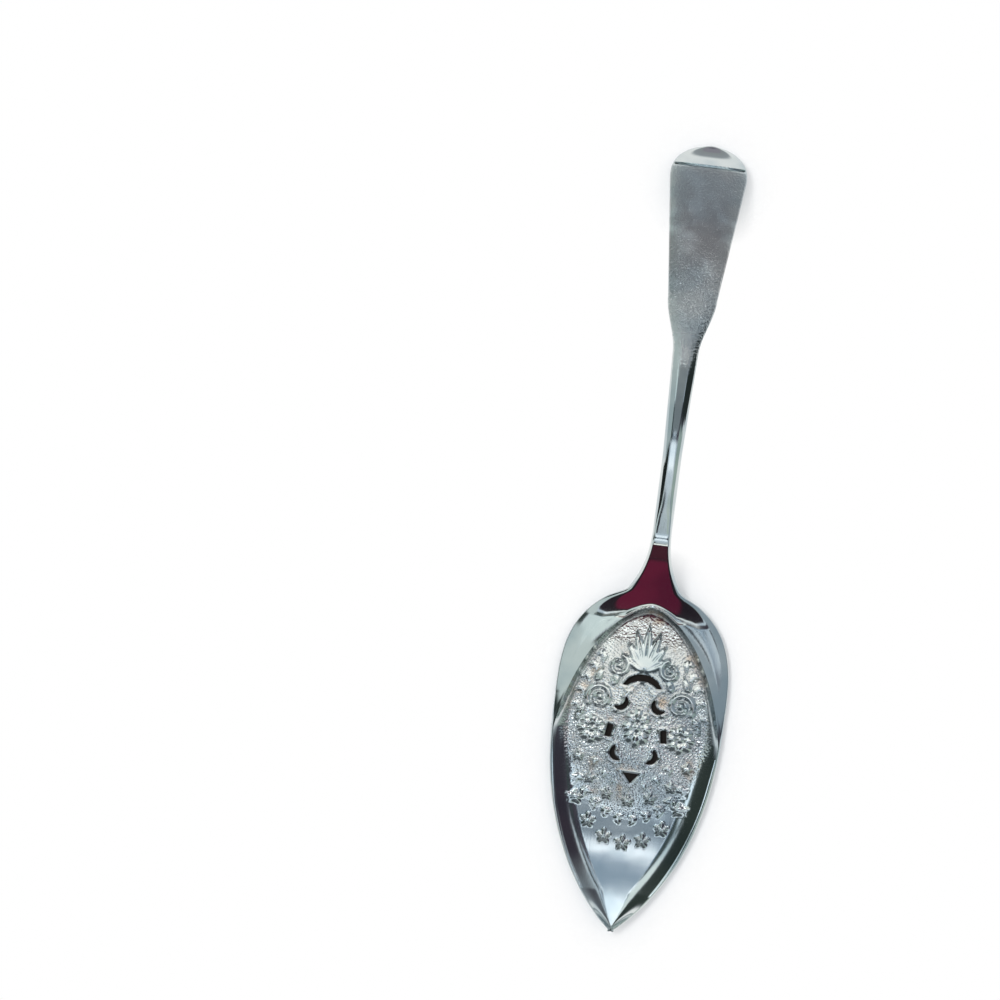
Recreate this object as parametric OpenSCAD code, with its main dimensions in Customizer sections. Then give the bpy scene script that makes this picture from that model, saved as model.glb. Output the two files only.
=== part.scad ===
// Pierced dessert server, stamped from one piece of plated metal.
// The tip of the blade points along -Y and the handle along +Y, with the good face up (+Z).
// Places along the server are distances from the tip, called s below.

/* [Overall] */
// Length from the tip of the blade to the end of the handle
server_length = 250; // [240:1:265]

/* [Blade] */
// Distance from the tip to the end of the round shoulders
blade_length = 107.5; // [105:0.5:112]
// Width of the blade at its widest place
blade_width = 54; // [50:1:60]
// Distance from the tip to the widest place
widest_at = 72; // [66:1:78]
// Thickness of the metal in the well
sheet_t = 1.5; // [1.2:0.1:2]
// Thickness of the metal at the edge of the blade
edge_t = 1; // [0.6:0.1:1.2]
// Lift of the tip above the flat of the well
tip_lift = 2.2; // [0.4:0.2:4]
// Length of the swept-up stretch behind the tip
tip_sweep = 32; // [24:1:36]

/* [Well] */
// Depth of the well below its edge
well_depth = 2.4; // [1.6:0.1:3.2]
// Distance from the tip to the top of the arch that closes the well
arch_top = 102; // [98:0.5:104]
// Distance from the tip to the feet of that arch
arch_foot = 48; // [42:1:54]
// Width of the steep wall under the arch
arch_wall = 2.2; // [1.8:0.2:3.6]
// Width of the shallow wall along the lower sides
side_wall = 7; // [5:0.5:8]
// Height of the bead that runs along the arch
bead_rise = 0.5; // [0.2:0.1:0.8]
// Fall of the shoulders from the arch to their outer edge
shoulder_fall = 0.8; // [0:0.1:1.5]

/* [Neck and stem] */
// Distance from the tip to the place where the neck starts to rise
heel_at = 97; // [94:0.5:99]
// Distance from the tip to the crease that ends the neck
crease_at = 122; // [119:0.5:126]
// Height of the underside at the crease
neck_rise = 15; // [12:0.5:18]
// Extra half-width of the neck where it leaves the shoulders
neck_flare = 8; // [6:0.1:10]
// Length of that flare
flare_run = 24; // [20:0.5:28]
// Width of the stem at its narrowest
stem_width = 5.9; // [5:0.1:6.8]
// Distance from the tip to the narrowest place of the stem
waist_at = 150; // [140:1:158]
// Width of the stem where the paddle begins
stem_top_width = 8; // [7:0.1:9]
// Thickness of the stem
stem_t = 3.4; // [2.6:0.1:4.2]
// Height of the underside at the top of the bow
bow_rise = 23; // [20:0.5:27]
// Distance from the tip to the top of the bow
bow_at = 172; // [164:1:178]

/* [Handle] */
// Width of the paddle at its widest place
paddle_width = 24.5; // [22:0.5:27]
// Width of the paddle just above its shoulders
paddle_foot_width = 15.4; // [13:0.1:17]
// Length of the paddle from its shoulders to its widest place
paddle_length = 40; // [34:1:44]
// Length of the shoulders between the stem and the paddle
paddle_shoulder = 18; // [12:1:20]
// Length of the round end beyond the widest place
paddle_end = 11; // [9:0.5:13]
// Thickness of the paddle
paddle_t = 2.4; // [1.8:0.1:3]
// Length of the end that is folded down
fold_length = 7; // [5:0.5:8]
// Height of the underside at the fold
fold_rise = 3.5; // [2.5:0.5:5]

/* [Piercings] */
// Distance from the tip to the middle of the ring of piercings
ring_at = 64; // [61:0.5:66]
// Width of the ring, between the middles of the side slots
ring_width = 17.3; // [16:0.1:19]
// Length of the ring, from the middle of the triangle to the middle of the top crescent
ring_length = 31.6; // [30:0.2:34]
// Width of the crescent at the top of the ring
crescent_width = 12.4; // [10:0.2:13.6]
// Thickness of the top crescent at its middle
crescent_t = 2.1; // [1.6:0.1:2.6]
// Width across each small crescent
hook_width = 5; // [4:0.2:5.6]
// Thickness of each small crescent at its middle
hook_t = 1.7; // [1.2:0.1:2]
// Length of the slot on each side
slot_length = 4; // [3:0.1:5]
// Width of the slot on each side
slot_width = 1.9; // [1.3:0.1:2.2]
// Width of the triangle at the bottom of the ring
triangle_width = 5.2; // [4:0.1:6.2]

/* [Ornament] */
// Height of the chased flowers and leaves above the well
relief = 0.5; // [0.3:0.05:0.8]
// Radius of the flower on each side of the ring
rosette_r = 4.4; // [3.8:0.1:4.8]
// Distance from the middle of the blade to the middle of each flower
rosette_out = 14.2; // [13.9:0.1:15]
// Petals on each large flower
petals = 8; // [6:1:10]
// Radius of the stars on the lower part of the well
star_r = 2.2; // [1.6:0.1:2.4]
// Half-width of the ellipse that the upper row of stars follows
star_row_out = 19.5; // [18:0.5:20]
// Half-length of that ellipse
star_row_down = 23.2; // [22:0.2:24]
// Radius of the lower scroll on each side
scroll_r = 4; // [3.2:0.1:4.2]
// Distance from the middle of the blade to the middle of that scroll
scroll_out = 12.8; // [12.2:0.1:13.6]
// Length of the tallest leaf above the ring
leaf_length = 13; // [10:0.5:14]
// Width of each leaf
leaf_width = 3.2; // [2.4:0.1:3.6]
// Pairs of small leaves on each branch
branch_pairs = 5; // [3:1:6]
// Length of those leaves where the branch starts
branch_leaf = 3.8; // [3:0.1:4.2]

/* [Hidden] */
$fn = 32;

// A small step that makes a cut run past a face
eps = 0.1;
// Half-width of the nub at the very tip and of the flat at the very end of the handle
nub = 1.1;
// Width of the flat land between the wall of the well and the outline
edge_land = 0.8;
// Powers of the outline's curves: the point's two, the shoulders, the fillet, the neck's flare and the end
point_reach = 2.5;
point_power = 0.85;
shoulder_power = 3;
fillet_power = 5;
flare_power = 2.5;
end_power = 2.4;
// Powers of the well: the arch seen from above and the wall's slope
arch_power = 0.6;
wall_power = 1.8;
// Powers of the crown across the blade and across the stem
blade_crown = 12;
stem_crown = 3.4;
// Stretch beyond the crease over which the blade's square crown turns into the stem's round one
crown_run = 14;
// Slopes of the side view on the two sides of the crease, on the two sides of the fold, and at the end
neck_slope = 0.68;
stem_slope = 0.28;
paddle_slope = -0.42;
fold_slope = -1;
end_slope = -0.15;
// How far the neck's flare starts below the end of the shoulders
flare_lead = 3.5;
// How far the closer cross-sections start below the heel and run past the top of the arch
dense_before = 3;
dense_after = 2;
// Half the width of the bead on the arch, and the reach of the shoulders' fall
bead_half = 0.8;
fall_reach = 8;
// Thickness along the sides of the stem and the paddle
stem_edge_t = 1.3;
// How far the underside of the well is dressed flat
land_cut = 0.06;
// Places of the small openings as shares of the ring's half-width and half-length, on the right
upper_hook = [0.5, 0.36];
side_slot = [1, -0.12];
lower_hook = [0.86, -0.6];
// Turns of the same, in degrees
upper_turn = 135;
slot_turn = 8;
lower_turn = -112;
// Where the crescents are cut off, as shares of the radius of their backs
crescent_cut = 0.42;
upper_cut = -0.1;
lower_cut = 0;
// Sides of each petal and bead
petal_sides = 12;
// Step from the first scroll to the second, and the second's size as a share of the first
scroll_step = [-4.6, 10.6];
scroll_share = 0.8;
// Turns of the stars along each row, in degrees below the ring's side
star_turns = [[28, 48, 69, 90], [41, 57, 73.5, 90]];
// Step from the ellipse of the upper row of stars to that of the lower row
star_row_step = [2.1, 13.3];
// Turns of the leaves and their lengths as shares of the tallest one
leaf_turns = [0, 20, 42];
leaf_shares = [1, 0.88, 0.66];
// Starts, bends and ends of the branches on the right, from the middle of the ring
branches = [[[11.2, 24], [18.6, 17], [20.4, 3.5]], [[18.4, -14.5], [12.6, -26.5], [0.9, -29.2]]];
// Degrees between a small leaf and its branch, the leaf's width as a share of its length,
// and its length at the end of the branch as a share of that at the start
branch_spread = 32;
branch_leaf_share = 0.45;
branch_end_share = 0.65;

half_blade = blade_width / 2;
flare_from = blade_length - flare_lead;
flare_to = flare_from + flare_run;
paddle_widest = server_length - paddle_end;
paddle_foot = paddle_widest - paddle_length;
paddle_start = paddle_foot - paddle_shoulder;
fold_at = server_length - fold_length;

function share(low, high, v) = min(1, max(0, (v - low) / (high - low)));
function ease(low, high, v) = let (t = share(low, high, v)) t * t * (3 - 2 * t);
function mix(a, b, t) = a + (b - a) * t;

// Cubic from height a to height b over a run, with the given slopes at its two ends
function curve(from, to, a, b, slope_a, slope_b, s) =
    let (run = to - from, t = share(from, to, s))
    a * (1 + 2 * t) * pow(1 - t, 2) + b * t * t * (3 - 2 * t)
    + run * (slope_a * t * pow(1 - t, 2) - slope_b * t * t * (1 - t));

// Half-width of the blade: a full rounded point, then round shoulders
function blade_half(s) =
    s < widest_at
        ? max(nub, half_blade * pow(1 - pow(1 - s / widest_at, point_reach), point_power))
        : half_blade * sqrt(1 - pow(share(widest_at, blade_length, s), shoulder_power));

// Half-width of the stem and the paddle, with the round end
function handle_half(s) =
    let (stem = mix(stem_width, stem_top_width, share(waist_at, paddle_start, s)) / 2,
         paddle = mix(paddle_foot_width, paddle_width, share(paddle_foot, paddle_widest, s)) / 2,
         plain = mix(stem, paddle, ease(paddle_start, paddle_foot, s)),
         past = share(paddle_widest, server_length, s))
    max(nub, plain * sqrt(1 - pow(past, end_power)));

function neck_half(s) =
    handle_half(s) + neck_flare * pow(1 - share(flare_from, flare_to, s), flare_power);

// Half-width of the whole outline, with a fillet where the shoulders meet the neck
function outline_half(s) =
    s < widest_at
        ? blade_half(s)
        : pow(pow(blade_half(s), fillet_power) + pow(neck_half(s), fillet_power), 1 / fillet_power);

// Half-width of the arch that closes the well, zero above its top
function arch_half(s) =
    half_blade * pow(1 - pow(share(arch_foot, arch_top, s), 2), arch_power);

// Distance outside the arch, negative inside it, from its implicit form and its slope
function past_arch(x, s) =
    let (v = max(0, s - arch_foot) / (arch_top - arch_foot), w = max(abs(x), eps) / half_blade,
         form = pow(w, 1 / arch_power) + v * v - 1,
         across = pow(w, 1 / arch_power - 1) / arch_power / half_blade,
         along = 2 * v / (arch_top - arch_foot))
    form / norm([across, along]);

function past_side(x, s) = abs(x) - (outline_half(s) - edge_land);

function past_well(x, s) = s > arch_top ? past_arch(x, s) : max(past_arch(x, s), past_side(x, s));

// Width of the wall of the well: shallow along the lower sides and steep under the arch
function wall_run(s) =
    min(mix(side_wall, arch_wall, ease(arch_foot, mix(arch_foot, arch_top, 0.6), s)),
        outline_half(s) * 0.6);

// Rise of the blade above the floor of the well, which fades out along the neck
function blade_rise(x, s) =
    let (d = past_well(x, s), up = pow(share(-wall_run(s), 0, d), wall_power),
         bead = bead_rise * exp(-pow(d / bead_half, 2)) * ease(arch_foot, widest_at, s),
         fall = shoulder_fall * share(0, fall_reach, d))
    (well_depth * up + bead - fall) * (1 - ease(arch_top, crease_at, s));

function tip_rise(s) = tip_lift * pow(1 - share(0, tip_sweep, s), 2);

// Side view of the underside along the middle
function spine(s) =
    s < heel_at ? 0
    : s < crease_at ? curve(heel_at, crease_at, 0, neck_rise, 0, neck_slope, s)
    : s < bow_at ? curve(crease_at, bow_at, neck_rise, bow_rise, stem_slope, 0, s)
    : s < fold_at ? curve(bow_at, fold_at, bow_rise, fold_rise, 0, paddle_slope, s)
    : curve(fold_at, server_length, fold_rise, 0, fold_slope, end_slope, s);

// Thickness of the metal: the blade, the thicker stem, then the paddle
function middle_t(s) =
    mix(mix(sheet_t, stem_t, ease(heel_at, crease_at, s)), paddle_t, ease(waist_at, paddle_foot, s));

function thickness(x, s) =
    let (along = ease(heel_at, crease_at, s), rim = mix(edge_t, min(stem_edge_t, middle_t(s)), along),
         crown = mix(blade_crown, stem_crown, ease(crease_at, crease_at + crown_run, s)),
         u = min(1, abs(x) / outline_half(s)),
         lean = (spine(s + eps) - spine(s - eps)) / (2 * eps))
    (rim + (middle_t(s) - rim) * (1 - pow(u, crown))) * norm([1, lean]);

function underside(x, s) = spine(s) + blade_rise(x, s) + tip_rise(s) - land_cut;

// Places of the cross-sections: close together where the form turns quickly
stations = concat(
    [for (i = [0 : 22]) widest_at * pow(i / 22, 1.5)],
    [for (i = [1 : 6]) mix(widest_at, heel_at - dense_before, i / 6)],
    [for (i = [1 : 8]) mix(heel_at - dense_before, arch_top + dense_after, i / 8)],
    [for (i = [1 : 9]) mix(arch_top + dense_after, crease_at, i / 9)],
    [for (i = [1 : 9]) mix(crease_at, paddle_start, pow(i / 9, 1.3))],
    [for (i = [1 : 6]) mix(paddle_start, paddle_foot, i / 6)],
    [for (i = [1 : 5]) mix(paddle_foot, paddle_widest, i / 5)],
    [mix(paddle_widest, fold_at, 0.5), fold_at],
    [for (i = [1 : 6]) mix(fold_at, server_length, sin(90 * i / 6))]);

// Counts of cells across half of the floor, the wall and the shoulder
floor_count = 4;
wall_count = 4;
rim_count = 2;
half_count = floor_count + wall_count + rim_count;

// Distance of column j from the middle: the columns follow the wall of the well
function column_x(j, s) =
    let (out = outline_half(s), n = abs(j),
         ridge = min(out - min(edge_land, out * 0.2), max(arch_half(s), out * 0.4)),
         foot = ridge - min(wall_run(s), ridge * 0.6),
         x = n <= floor_count ? foot * n / floor_count
             : n <= floor_count + wall_count ? mix(foot, ridge, (n - floor_count) / wall_count)
             : mix(ridge, out, (n - floor_count - wall_count) / rim_count))
    sign(j) * x;

function point_at(x, s, z) = [x, s - server_length / 2, z];

// One closed cross-section: the upper face from left to right, then the underside back again
function section(s) = concat(
    [for (j = [-half_count : half_count])
        let (x = column_x(j, s)) point_at(x, s, underside(x, s) + thickness(x, s))],
    [for (j = [half_count : -1 : -half_count])
        let (x = column_x(j, s)) point_at(x, s, underside(x, s))]);

module body() {
    ring = 2 * (2 * half_count + 1);
    last = (len(stations) - 1) * ring;
    points = [for (s = stations) each section(s)];
    sides = [for (k = [0 : len(stations) - 2], i = [0 : ring - 1])
        let (a = k * ring + i, b = k * ring + (i + 1) % ring) each [
            [a, b + ring, b],
            [a, a + ring, b + ring]]];
    near_end = [for (i = [0 : ring / 2 - 2]) each [
        [i, i + 1, ring - 1 - i],
        [i + 1, ring - 2 - i, ring - 1 - i]]];
    far_end = [for (f = near_end) [f[0] + last, f[2] + last, f[1] + last]];
    polyhedron(points, concat(sides, near_end, far_end), convexity = 6);
}

// The part of the body below the plane that it stands on
module under_floor() {
    translate([-blade_width, -server_length, -blade_width])
        cube([2 * blade_width, 2 * server_length, blade_width]);
}

// Moon shape with its back at the middle and its horns towards -Y, cut off at a share of its radius
module moon(width, thick, cut) {
    back_r = width / 2 / sqrt(1 - pow(max(0, cut), 2));
    translate([0, -back_r]) difference() {
        circle(back_r);
        translate([0, -thick]) circle(back_r);
        translate([-width, cut * back_r - 2 * width]) square(2 * width);
    }
}

// Ring of piercings in the flat, with its middle at the origin
module piercings() {
    ring_r = ring_length / 2;
    side_r = ring_width / 2;
    translate([0, ring_r + crescent_t / 2]) moon(crescent_width, crescent_t, crescent_cut);
    translate([0, -ring_r]) polygon([
        [-triangle_width / 2, triangle_width * 0.26],
        [triangle_width / 2, triangle_width * 0.26],
        [0, -triangle_width * 0.34]]);
    for (side = [-1, 1]) {
        translate([side * side_r * upper_hook[0], ring_r * upper_hook[1]]) rotate(side * upper_turn)
            moon(hook_width, hook_t, upper_cut);
        translate([side * side_r * side_slot[0], ring_r * side_slot[1]]) rotate(side * slot_turn)
            square([slot_width, slot_length], center = true);
        translate([side * side_r * lower_hook[0], ring_r * lower_hook[1]]) rotate(side * lower_turn)
            moon(hook_width, hook_t, lower_cut);
    }
}

// Set a chased ornament on the good face at x and s, sunk by its own height
module on_blade(x, s) {
    translate(point_at(x, s, underside(x, s) + sheet_t - relief)) children();
}

// Round petals about a middle bead
module flower(r, count) {
    bead = r * 0.27;
    for (i = [0 : count - 1]) rotate(360 * i / count) translate([r - bead, 0, 0])
        cylinder(h = 2 * relief, r = bead, $fn = petal_sides);
    cylinder(h = 2 * relief, r = bead * 1.5, $fn = petal_sides);
}

// Star with five points
module star(r) {
    linear_extrude(2 * relief) polygon([for (i = [0 : 9])
        let (reach = i % 2 == 0 ? r : r * 0.5) reach * [sin(36 * i), cos(36 * i)]]);
}

// Pointed leaf that grows from the origin towards +Y
module leaf(length, width) {
    half = width / 2;
    linear_extrude(2 * relief) polygon([
        [0, 0], [half * 0.8, length * 0.25], [half, length * 0.5], [0, length],
        [-half, length * 0.5], [-half * 0.8, length * 0.25]]);
}

// Pairs of leaves along a quadratic curve, on the right (side 1) or mirrored to the left (side -1)
module branch(path, side) {
    for (i = [0 : branch_pairs - 1]) {
        t = (i + 0.5) / branch_pairs;
        place = mix(mix(path[0], path[1], t), mix(path[1], path[2], t), t);
        way = mix(path[1] - path[0], path[2] - path[1], t);
        length = branch_leaf * mix(1, branch_end_share, t);
        for (turn = [-branch_spread, branch_spread])
            on_blade(side * place[0], ring_at + place[1])
                rotate(-side * atan2(way[0], way[1]) + turn) leaf(length, length * branch_leaf_share);
    }
}

// Open scroll about the origin
module scroll(r) {
    translate([0, r]) linear_extrude(2 * relief) moon(2 * r, r * 0.5, 0);
}

// Chased ornament, laid out round the ring of piercings
module ornament() {
    leaf_foot = ring_at + ring_length / 2 + 1.5 * crescent_t;
    on_blade(0, ring_at) flower(ring_width * 0.27, petals);
    for (side = [-1, 1]) {
        on_blade(side * rosette_out, ring_at) flower(rosette_r, petals);
        on_blade(side * scroll_out, ring_at + 2 * scroll_r) rotate(side * 60) scroll(scroll_r);
        on_blade(side * (scroll_out + scroll_step[0]), ring_at + 2 * scroll_r + scroll_step[1])
            rotate(side * -60) scroll(scroll_r * scroll_share);
        for (i = [0 : len(leaf_turns) - 1]) if (side > 0 || leaf_turns[i] > 0)
            on_blade(0, leaf_foot) rotate(-side * leaf_turns[i])
                leaf(leaf_length * leaf_shares[i], leaf_width);
        for (path = branches) branch(path, side);
        for (row = [0, 1], turn = star_turns[row]) if (side > 0 || turn < 90)
            on_blade(side * (star_row_out + row * star_row_step[0]) * cos(turn),
                     ring_at - (star_row_down + row * star_row_step[1]) * sin(turn)) star(star_r);
    }
}

module server() {
    color("silver") difference() {
        union() {
            body();
            ornament();
        }
        under_floor();
        translate(point_at(0, ring_at, -eps)) linear_extrude(sheet_t + relief + 2) piercings();
    }
}

server();
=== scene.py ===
"""Looks of a pierced dessert server in silver plate, worked out as surfaces in numpy.

Lengths are in millimetres until a mesh is made, and s is the distance from the tip of the blade.
"""
import logging
import math
from dataclasses import dataclass, field
from enum import Enum

import bpy
import numpy as np
from mathutils import Matrix, Vector


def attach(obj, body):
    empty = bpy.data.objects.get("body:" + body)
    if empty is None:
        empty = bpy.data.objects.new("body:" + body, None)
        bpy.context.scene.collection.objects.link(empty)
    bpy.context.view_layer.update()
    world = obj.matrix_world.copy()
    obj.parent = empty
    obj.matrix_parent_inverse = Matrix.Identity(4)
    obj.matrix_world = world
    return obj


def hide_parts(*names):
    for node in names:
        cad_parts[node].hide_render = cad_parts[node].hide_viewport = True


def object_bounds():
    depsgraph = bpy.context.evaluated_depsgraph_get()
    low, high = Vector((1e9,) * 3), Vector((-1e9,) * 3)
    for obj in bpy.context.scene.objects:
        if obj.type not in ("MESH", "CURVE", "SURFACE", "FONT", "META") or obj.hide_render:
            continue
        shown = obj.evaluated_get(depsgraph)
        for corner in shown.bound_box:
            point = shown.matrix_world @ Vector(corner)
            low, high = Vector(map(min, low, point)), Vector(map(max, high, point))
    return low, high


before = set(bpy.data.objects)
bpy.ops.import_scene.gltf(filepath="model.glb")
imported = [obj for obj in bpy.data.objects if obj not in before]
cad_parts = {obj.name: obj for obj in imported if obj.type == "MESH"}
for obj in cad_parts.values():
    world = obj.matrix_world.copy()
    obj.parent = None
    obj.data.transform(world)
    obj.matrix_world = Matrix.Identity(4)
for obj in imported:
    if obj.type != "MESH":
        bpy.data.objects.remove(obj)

CAD_BOX = [list(corner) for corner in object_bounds()]
LOG = logging.getLogger("dessert_server")
MM = 0.001
SERVER_LENGTH = round((CAD_BOX[1][1] - CAD_BOX[0][1]) / MM, 3)
Array = np.ndarray


def share(low: float, high: float, value: Array) -> Array:
    """Return how far value lies from low to high, held between 0 and 1."""
    return np.clip((value - low) / (high - low), 0.0, 1.0)


def ease(low: float, high: float, value: Array) -> Array:
    """Return the share with a smooth start and end: t squared times (3 - 2t)."""
    t = share(low, high, value)
    return t * t * (3.0 - 2.0 * t)


def mix(a: Array, b: Array, t: Array) -> Array:
    """Return the blend from a to b at the share t."""
    return a + (b - a) * t


def swell(offset: Array, reach: float) -> Array:
    """Return a rounded rise to 1: e to the power of minus the square of offset over reach."""
    return np.exp(-(offset / reach) ** 2)


def dome(d: Array, width: float) -> Array:
    """Return a rounded rise from 0 at d = 0 to 1 at d = -width: one less the square of the rest."""
    t = np.clip(-d / width, 0, 1)
    return 1 - (1 - t) ** 2


def cubic(start: float, end: float, a: float, b: float, slope_a: float, slope_b: float,
          s: Array) -> Array:
    """Return a cubic that runs from height a to height b with a given slope at each end.

    Args:
        start: Where the stretch starts.
        end: Where the stretch ends.
        a: Height at the start.
        b: Height at the end.
        slope_a: Slope at the start.
        slope_b: Slope at the end.
        s: Places to work out.

    Returns:
        The height at each place.
    """
    run = end - start
    t = share(start, end, s)
    ends = a * (1 + 2 * t) * (1 - t) ** 2 + b * t * t * (3 - 2 * t)
    return ends + run * (slope_a * t * (1 - t) ** 2 - slope_b * t * t * (1 - t))


def turned(x: Array, y: Array, cx: float, cy: float, turn: float) -> tuple[Array, Array]:
    """Return the places in a frame set at (cx, cy) and turned by turn degrees.

    Args:
        x: Places across the server.
        y: Places along it.
        cx: The new frame's origin, across.
        cy: The new frame's origin, along.
        turn: The new frame's turn in degrees, anticlockwise.

    Returns:
        The two coordinates in the new frame.
    """
    c, s = math.cos(math.radians(turn)), math.sin(math.radians(turn))
    return (x - cx) * c + (y - cy) * s, (y - cy) * c - (x - cx) * s


@dataclass(frozen=True)
class Outline:
    """The server seen from above: a leaf-shaped blade, a narrow stem and a flat paddle.

    The powers set how full the curves are: the blade's tip, point and shoulders, the corner where the
    neck leaves the blade, the neck's flare and the paddle's round end.
    """

    length: float = SERVER_LENGTH
    blade_length: float = 107.5
    blade_width: float = 54.0
    widest_at: float = 72.0
    neck_flare: float = 8.0
    flare_from: float = 104.0
    flare_to: float = 128.0
    stem_width: float = 5.9
    waist_at: float = 150.0
    stem_top_width: float = 8.0
    paddle_start: float = 181.0
    paddle_foot: float = 199.0
    paddle_foot_width: float = 15.4
    paddle_widest: float = 239.0
    paddle_width: float = 24.5
    nub: float = 1.1
    tip_power: float = 2.5
    point_power: float = 0.85
    shoulder_power: float = 3.0
    fillet_power: float = 5.0
    flare_power: float = 2.5
    end_power: float = 2.4

    def blade(self, s: Array) -> Array:
        """Return the half-width of the blade: a full point to a power, then cubed round shoulders.

        Args:
            s: Distances from the tip.

        Returns:
            The half-width at each.
        """
        half_width = self.blade_width / 2
        short_of = (1 - share(0, self.widest_at, s)) ** self.tip_power
        point = half_width * (1 - short_of) ** self.point_power
        past = share(self.widest_at, self.blade_length, s)
        shoulder = half_width * np.sqrt(1 - past ** self.shoulder_power)
        return np.where(s < self.widest_at, np.maximum(point, self.nub), shoulder)

    def handle(self, s: Array) -> Array:
        """Return the half-width of the stem and paddle, closed by a superellipse at the end.

        Args:
            s: Distances from the tip.

        Returns:
            The half-width at each.
        """
        stem = mix(self.stem_width, self.stem_top_width, share(self.waist_at, self.paddle_start, s))
        paddle = mix(self.paddle_foot_width, self.paddle_width,
                     share(self.paddle_foot, self.paddle_widest, s))
        plain = mix(stem, paddle, ease(self.paddle_start, self.paddle_foot, s)) / 2
        past = share(self.paddle_widest, self.length, s)
        return np.maximum(plain * np.sqrt(1 - past ** self.end_power), self.nub)

    def half(self, s: Array) -> Array:
        """Return the whole half-width: the power mean of blade and neck fillets their corner.

        Args:
            s: Distances from the tip.

        Returns:
            The half-width at each.
        """
        blade, power = self.blade(s), self.fillet_power
        flare = (1 - share(self.flare_from, self.flare_to, s)) ** self.flare_power
        neck = self.handle(s) + self.neck_flare * flare
        both = (blade ** power + neck ** power) ** (1 / power)
        return np.where(s < self.widest_at, blade, both)


@dataclass(frozen=True)
class SideView:
    """The server seen from the side: a flat well, a steep neck and a bow down to the folded end.

    A slope is a rise over a run: the neck's and the stem's at the crease, the paddle's and the folded
    end's at the fold, and the last one at the handle's end.
    """

    heel_at: float = 97.0
    crease_at: float = 122.0
    neck_rise: float = 15.0
    neck_slope: float = 0.68
    stem_slope: float = 0.28
    bow_at: float = 172.0
    bow_rise: float = 23.0
    paddle_slope: float = -0.42
    fold_at: float = 243.0
    fold_rise: float = 3.5
    fold_slope: float = -1.0
    end_at: float = SERVER_LENGTH
    end_slope: float = -0.15
    tip_lift: float = 2.2
    tip_sweep: float = 32.0
    groove_depth: float = 0.3
    groove_half: float = 0.45
    groove_lead: float = 0.3
    ridge_height: float = 0.45
    ridge_half: float = 1.0
    ridge_lag: float = 0.5

    def height(self, s: Array) -> Array:
        """Return the height of the underside's middle: four cubics end to end and a swept tip.

        Args:
            s: Distances from the tip.

        Returns:
            The height at each.
        """
        neck = cubic(self.heel_at, self.crease_at, 0, self.neck_rise, 0, self.neck_slope, s)
        stem = cubic(self.crease_at, self.bow_at, self.neck_rise, self.bow_rise, self.stem_slope, 0, s)
        bow = cubic(self.bow_at, self.fold_at, self.bow_rise, self.fold_rise, 0, self.paddle_slope, s)
        end = cubic(self.fold_at, self.end_at, self.fold_rise, 0, self.fold_slope, self.end_slope, s)
        tip = self.tip_lift * (1 - share(0, self.tip_sweep, s)) ** 2
        stretches = [s < self.heel_at, s < self.crease_at, s < self.bow_at, s < self.fold_at]
        return np.select(stretches, [tip, neck, stem, bow], end)

    def groove(self, s: Array) -> Array:
        """Return the depth pressed into the good face: a groove at the fold and a ridge at the crease."""
        fold = self.groove_depth * swell(s - self.fold_at + self.groove_lead, self.groove_half)
        return fold - self.ridge_height * swell(s - self.crease_at - self.ridge_lag, self.ridge_half)


@dataclass(frozen=True)
class Well:
    """The sunken middle of the blade, closed by an arch below the shoulders.

    The wall round its floor is shallow along the lower sides and steep under the arch. A bead runs
    along the arch, and outside it the shoulders fall away. The arch's width follows an ellipse to
    arch_power, wall_power hollows the wall, and middle is the least x that the arch is worked out for.
    """

    outline: Outline
    depth: float = 2.4
    arch_top: float = 102.0
    arch_foot: float = 48.0
    arch_wall: float = 2.2
    side_wall: float = 7.0
    steep_share: float = 0.6
    widest_wall: float = 0.6
    bead_rise: float = 0.5
    bead_half: float = 0.8
    bead_full_at: float = 72.0
    shoulder_fall: float = 0.8
    fall_reach: float = 8.0
    edge_land: float = 0.8
    fade_to: float = 122.0
    arch_power: float = 0.6
    wall_power: float = 1.8
    middle: float = 0.1

    def arch_half(self, s: Array) -> Array:
        """Return the half-width of the arch, an ellipse to a power."""
        past = share(self.arch_foot, self.arch_top, s)
        return self.outline.blade_width / 2 * (1 - past ** 2) ** self.arch_power

    def outside(self, x: Array, s: Array) -> Array:
        """Return the distance outside the well's edge, negative inside it.

        The arch's implicit form over the length of its gradient gives the distance to the arch.
        The distance to the sides is the larger of the two below the arch's top.

        Args:
            x: Places across the server.
            s: Places along it.

        Returns:
            The distance at each place.
        """
        half_width = self.outline.blade_width / 2
        reach = self.arch_top - self.arch_foot
        power = 1 / self.arch_power
        v = np.maximum(s - self.arch_foot, 0) / reach
        w = np.maximum(np.abs(x), self.middle) / half_width
        form = w ** power + v * v - 1
        across = power * w ** (power - 1) / half_width
        arch = form / np.hypot(across, 2 * v / reach)
        side = np.abs(x) - (self.outline.half(s) - self.edge_land)
        return np.where(s > self.arch_top, arch, np.maximum(arch, side))

    def wall_run(self, s: Array) -> Array:
        """Return the width of the wall: shallow along the lower sides and steep under the arch.

        Args:
            s: Distances from the tip.

        Returns:
            The width at each.
        """
        steep = ease(self.arch_foot, mix(self.arch_foot, self.arch_top, self.steep_share), s)
        widest = self.outline.half(s) * self.widest_wall
        return np.minimum(mix(self.side_wall, self.arch_wall, steep), widest)

    def rise(self, x: Array, s: Array) -> Array:
        """Return the height above the well's floor: a wall, a bead on the arch and a falling shoulder.

        Args:
            x: Places across the server.
            s: Places along it.

        Returns:
            The height at each place.
        """
        d = self.outside(x, s)
        wall = self.depth * share(-1, 0, d / self.wall_run(s)) ** self.wall_power
        bead = self.bead_rise * swell(d, self.bead_half) * ease(self.arch_foot, self.bead_full_at, s)
        fall = self.shoulder_fall * share(0, self.fall_reach, d)
        return (wall + bead - fall) * (1 - ease(self.arch_top, self.fade_to, s))


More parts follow.
